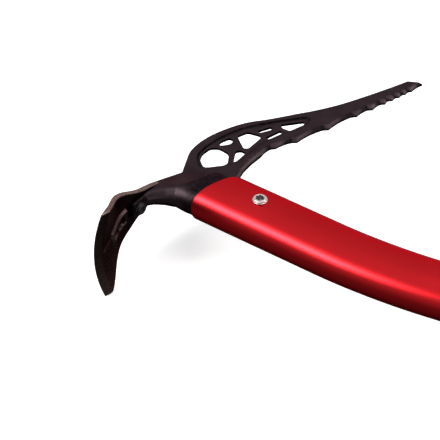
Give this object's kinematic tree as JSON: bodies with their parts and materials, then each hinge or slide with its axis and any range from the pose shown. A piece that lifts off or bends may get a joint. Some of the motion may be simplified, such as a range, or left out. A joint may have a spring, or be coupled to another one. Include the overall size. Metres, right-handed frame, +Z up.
{
  "type": "ice axe",
  "caption": "Technical ice axe: latticed toothed pick, bolted adze, curved oval alloy shaft, rubber grip, sliding finger rest with cam lever, folding hand rest and spike.",
  "frame": {"origin": "centre of the axe's outline seen from the side, at the lowest point of the adze, with the axe lying on its side", "axes": "+X from the head toward the spike along the upper shaft, +Y the way the pick points, +Z up out of the side of the axe"},
  "size_m": [0.5018, 0.2218, 0.0526],
  "materials": {
    "shaft_red": "satin anodised",
    "pick_steel": "satin black forged",
    "adze_steel": "semi-gloss black forged",
    "black_fixings": "black oxide",
    "bright_fixings": "turned bright steel",
    "spike_steel": "brushed",
    "grip_rubber": "matt, ribbed",
    "liner_rubber": "matt",
    "black_nylon": "fine-textured moulding",
    "lever_red": "satin anodised",
    "brass_pad": "satin"
  },
  "bodies": {
    "axe": {"shaft_tube": "shaft_red", "head_pick": "pick_steel", "adze": "adze_steel", "adze_screw": "black_fixings", "adze_washer": "black_fixings", "head_bolt": "bright_fixings", "head_sleeve_nut": "bright_fixings", "head_washer_upper": "bright_fixings", "head_washer_lower": "bright_fixings", "grip_sleeve": "grip_rubber", "pommel": "black_nylon", "pommel_pin": "bright_fixings", "spike_bolt": "bright_fixings", "spike_sleeve_nut": "bright_fixings", "spike": "spike_steel", "hand_rest_pin": "bright_fixings"},
    "trigger": {"trigger_body": "black_nylon", "trigger_liner": "liner_rubber", "trigger_pad": "brass_pad", "trigger_lever_pin": "bright_fixings"},
    "lever": {"trigger_lever": "lever_red"},
    "hand_rest": {"hand_rest": "black_nylon"}
  },
  "joints": [
    {"name": "trigger_slide", "type": "slide", "parent": "axe", "child": "trigger", "axis": [0.9511, 0.309, 0], "range_m": [-0.018, 0.022]},
    {"name": "lever_hinge", "type": "hinge", "parent": "trigger", "child": "lever", "pos_m": [0.0333, -0.01654, 0.02628], "axis": [0, 0, -1], "range_deg": [0, 75]},
    {"name": "hand_rest_hinge", "type": "hinge", "parent": "axe", "child": "hand_rest", "pos_m": [0.19395, 0.07151, 0.02628], "axis": [0, 0, -1], "range_deg": [0, 84]}
  ]
}
